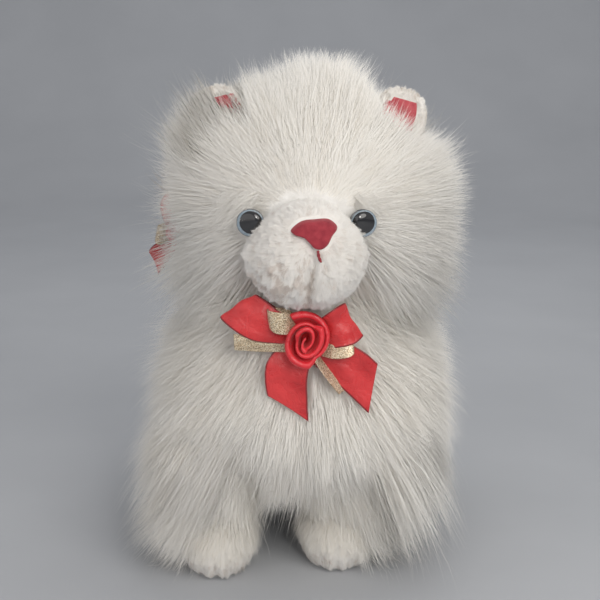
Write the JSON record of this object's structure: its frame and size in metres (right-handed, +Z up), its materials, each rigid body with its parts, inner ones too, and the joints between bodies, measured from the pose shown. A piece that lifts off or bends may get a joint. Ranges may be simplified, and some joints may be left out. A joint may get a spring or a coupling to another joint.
{
  "type": "plush cat",
  "caption": "Long-haired white plush cat standing on stuffed legs, with a round short-haired muzzle, domed eyes, a ribbon bow with a rose at the chest and a bow on its raised tail.",
  "frame": {"origin": "middle of the footprint box, on the surface that the paws stand on", "axes": "+Z up, the face looks towards -Y, +X is the viewer's right"},
  "size_m": [0.1795, 0.2472, 0.284],
  "materials": {
    "long_pile": "long white acrylic pile",
    "short_pile": "short white plush pile",
    "stuffing": "polyester fibre",
    "eye_lens": "clear gloss",
    "eye_iris": "printed blue",
    "eye_pupil": "printed black",
    "eye_fixing": "moulded",
    "nose_velour": "red velour",
    "mouth_thread": "red thread",
    "ear_lining": "red velour",
    "red_satin": "satin",
    "gold_ribbon": "metallic weave",
    "white_satin": "satin"
  },
  "bodies": {
    "torso": {"chest_cover": "long_pile", "rump_cover": "long_pile", "body_stuffing": "stuffing", "ribbon_knot": "red_satin", "ribbon_rose": "red_satin", "red_loop_left": "red_satin", "red_loop_right": "red_satin", "red_tail_left": "red_satin", "red_tail_right": "red_satin", "gold_loop_left": "gold_ribbon", "gold_loop_right": "gold_ribbon", "gold_tail_left": "gold_ribbon", "gold_tail_right": "gold_ribbon"},
    "neck": {"neck_stuffing": "stuffing"},
    "head": {"head_cover": "long_pile", "head_stuffing": "stuffing", "muzzle_cover": "short_pile", "muzzle_stuffing": "stuffing", "nose_patch": "nose_velour", "mouth_stitch": "mouth_thread", "left_eye_lens": "eye_lens", "left_eye_iris": "eye_iris", "left_eye_pupil": "eye_pupil", "left_eye_stem": "eye_fixing", "left_eye_washer": "eye_fixing", "right_eye_lens": "eye_lens", "right_eye_iris": "eye_iris", "right_eye_pupil": "eye_pupil", "right_eye_stem": "eye_fixing", "right_eye_washer": "eye_fixing"},
    "left_ear": {"left_ear_cover": "short_pile", "left_ear_lining": "ear_lining"},
    "right_ear": {"right_ear_cover": "short_pile", "right_ear_lining": "ear_lining"},
    "tail": {"tail_cover": "long_pile", "tail_stuffing": "stuffing", "tail_bow_band": "red_satin", "tail_bow_rosebud": "white_satin", "tail_bow_upper_loop": "red_satin", "tail_bow_lower_loop": "red_satin", "tail_bow_gold_loop": "gold_ribbon"},
    "front_left_leg": {"front_left_leg_cover": "long_pile", "front_left_paw_cover": "short_pile", "front_left_leg_stuffing": "stuffing"},
    "front_right_leg": {"front_right_leg_cover": "long_pile", "front_right_paw_cover": "short_pile", "front_right_leg_stuffing": "stuffing"},
    "hind_left_leg": {"hind_left_leg_cover": "long_pile", "hind_left_paw_cover": "short_pile", "hind_left_leg_stuffing": "stuffing"},
    "hind_right_leg": {"hind_right_leg_cover": "long_pile", "hind_right_paw_cover": "short_pile", "hind_right_leg_stuffing": "stuffing"}
  },
  "joints": [
    {"name": "neck_turn", "type": "hinge", "parent": "torso", "child": "neck", "pos_m": [0.0037, -0.0308, 0.152], "axis": [0, 0, 1], "range_deg": [-20, 20], "stiffness_Nm_per_rad": 0.8},
    {"name": "head_nod", "type": "hinge", "parent": "neck", "child": "head", "pos_m": [0.0037, -0.0308, 0.152], "axis": [1, 0, 0], "range_deg": [-10, 3], "stiffness_Nm_per_rad": 2},
    {"name": "left_ear_fold", "type": "hinge", "parent": "head", "child": "left_ear", "pos_m": [-0.04091, -0.04093, 0.255], "axis": [0.9636, 0.0674, 0.2588], "range_deg": [-20, 20], "stiffness_Nm_per_rad": 0.02},
    {"name": "right_ear_fold", "type": "hinge", "parent": "head", "child": "right_ear", "pos_m": [0.05485, -0.03423, 0.255], "axis": [0.9636, 0.0674, -0.2588], "range_deg": [-20, 20], "stiffness_Nm_per_rad": 0.02},
    {"name": "tail_wag", "type": "hinge", "parent": "torso", "child": "tail", "pos_m": [0.0037, 0.0932, 0.133], "axis": [0, 0, 1], "range_deg": [-20, 20], "stiffness_Nm_per_rad": 0.2},
    {"name": "front_left_leg_swing", "type": "hinge", "parent": "torso", "child": "front_left_leg", "pos_m": [-0.0423, -0.0488, 0.082], "axis": [1, 0, 0], "range_deg": [-10, 10], "stiffness_Nm_per_rad": 2},
    {"name": "front_right_leg_swing", "type": "hinge", "parent": "torso", "child": "front_right_leg", "pos_m": [0.0277, -0.0368, 0.082], "axis": [1, 0, 0], "range_deg": [-10, 10], "stiffness_Nm_per_rad": 2},
    {"name": "hind_left_leg_swing", "type": "hinge", "parent": "torso", "child": "hind_left_leg", "pos_m": [-0.0383, 0.0612, 0.082], "axis": [1, 0, 0], "range_deg": [-10, 10], "stiffness_Nm_per_rad": 2},
    {"name": "hind_right_leg_swing", "type": "hinge", "parent": "torso", "child": "hind_right_leg", "pos_m": [0.0497, 0.0612, 0.082], "axis": [1, 0, 0], "range_deg": [-10, 10], "stiffness_Nm_per_rad": 2}
  ]
}
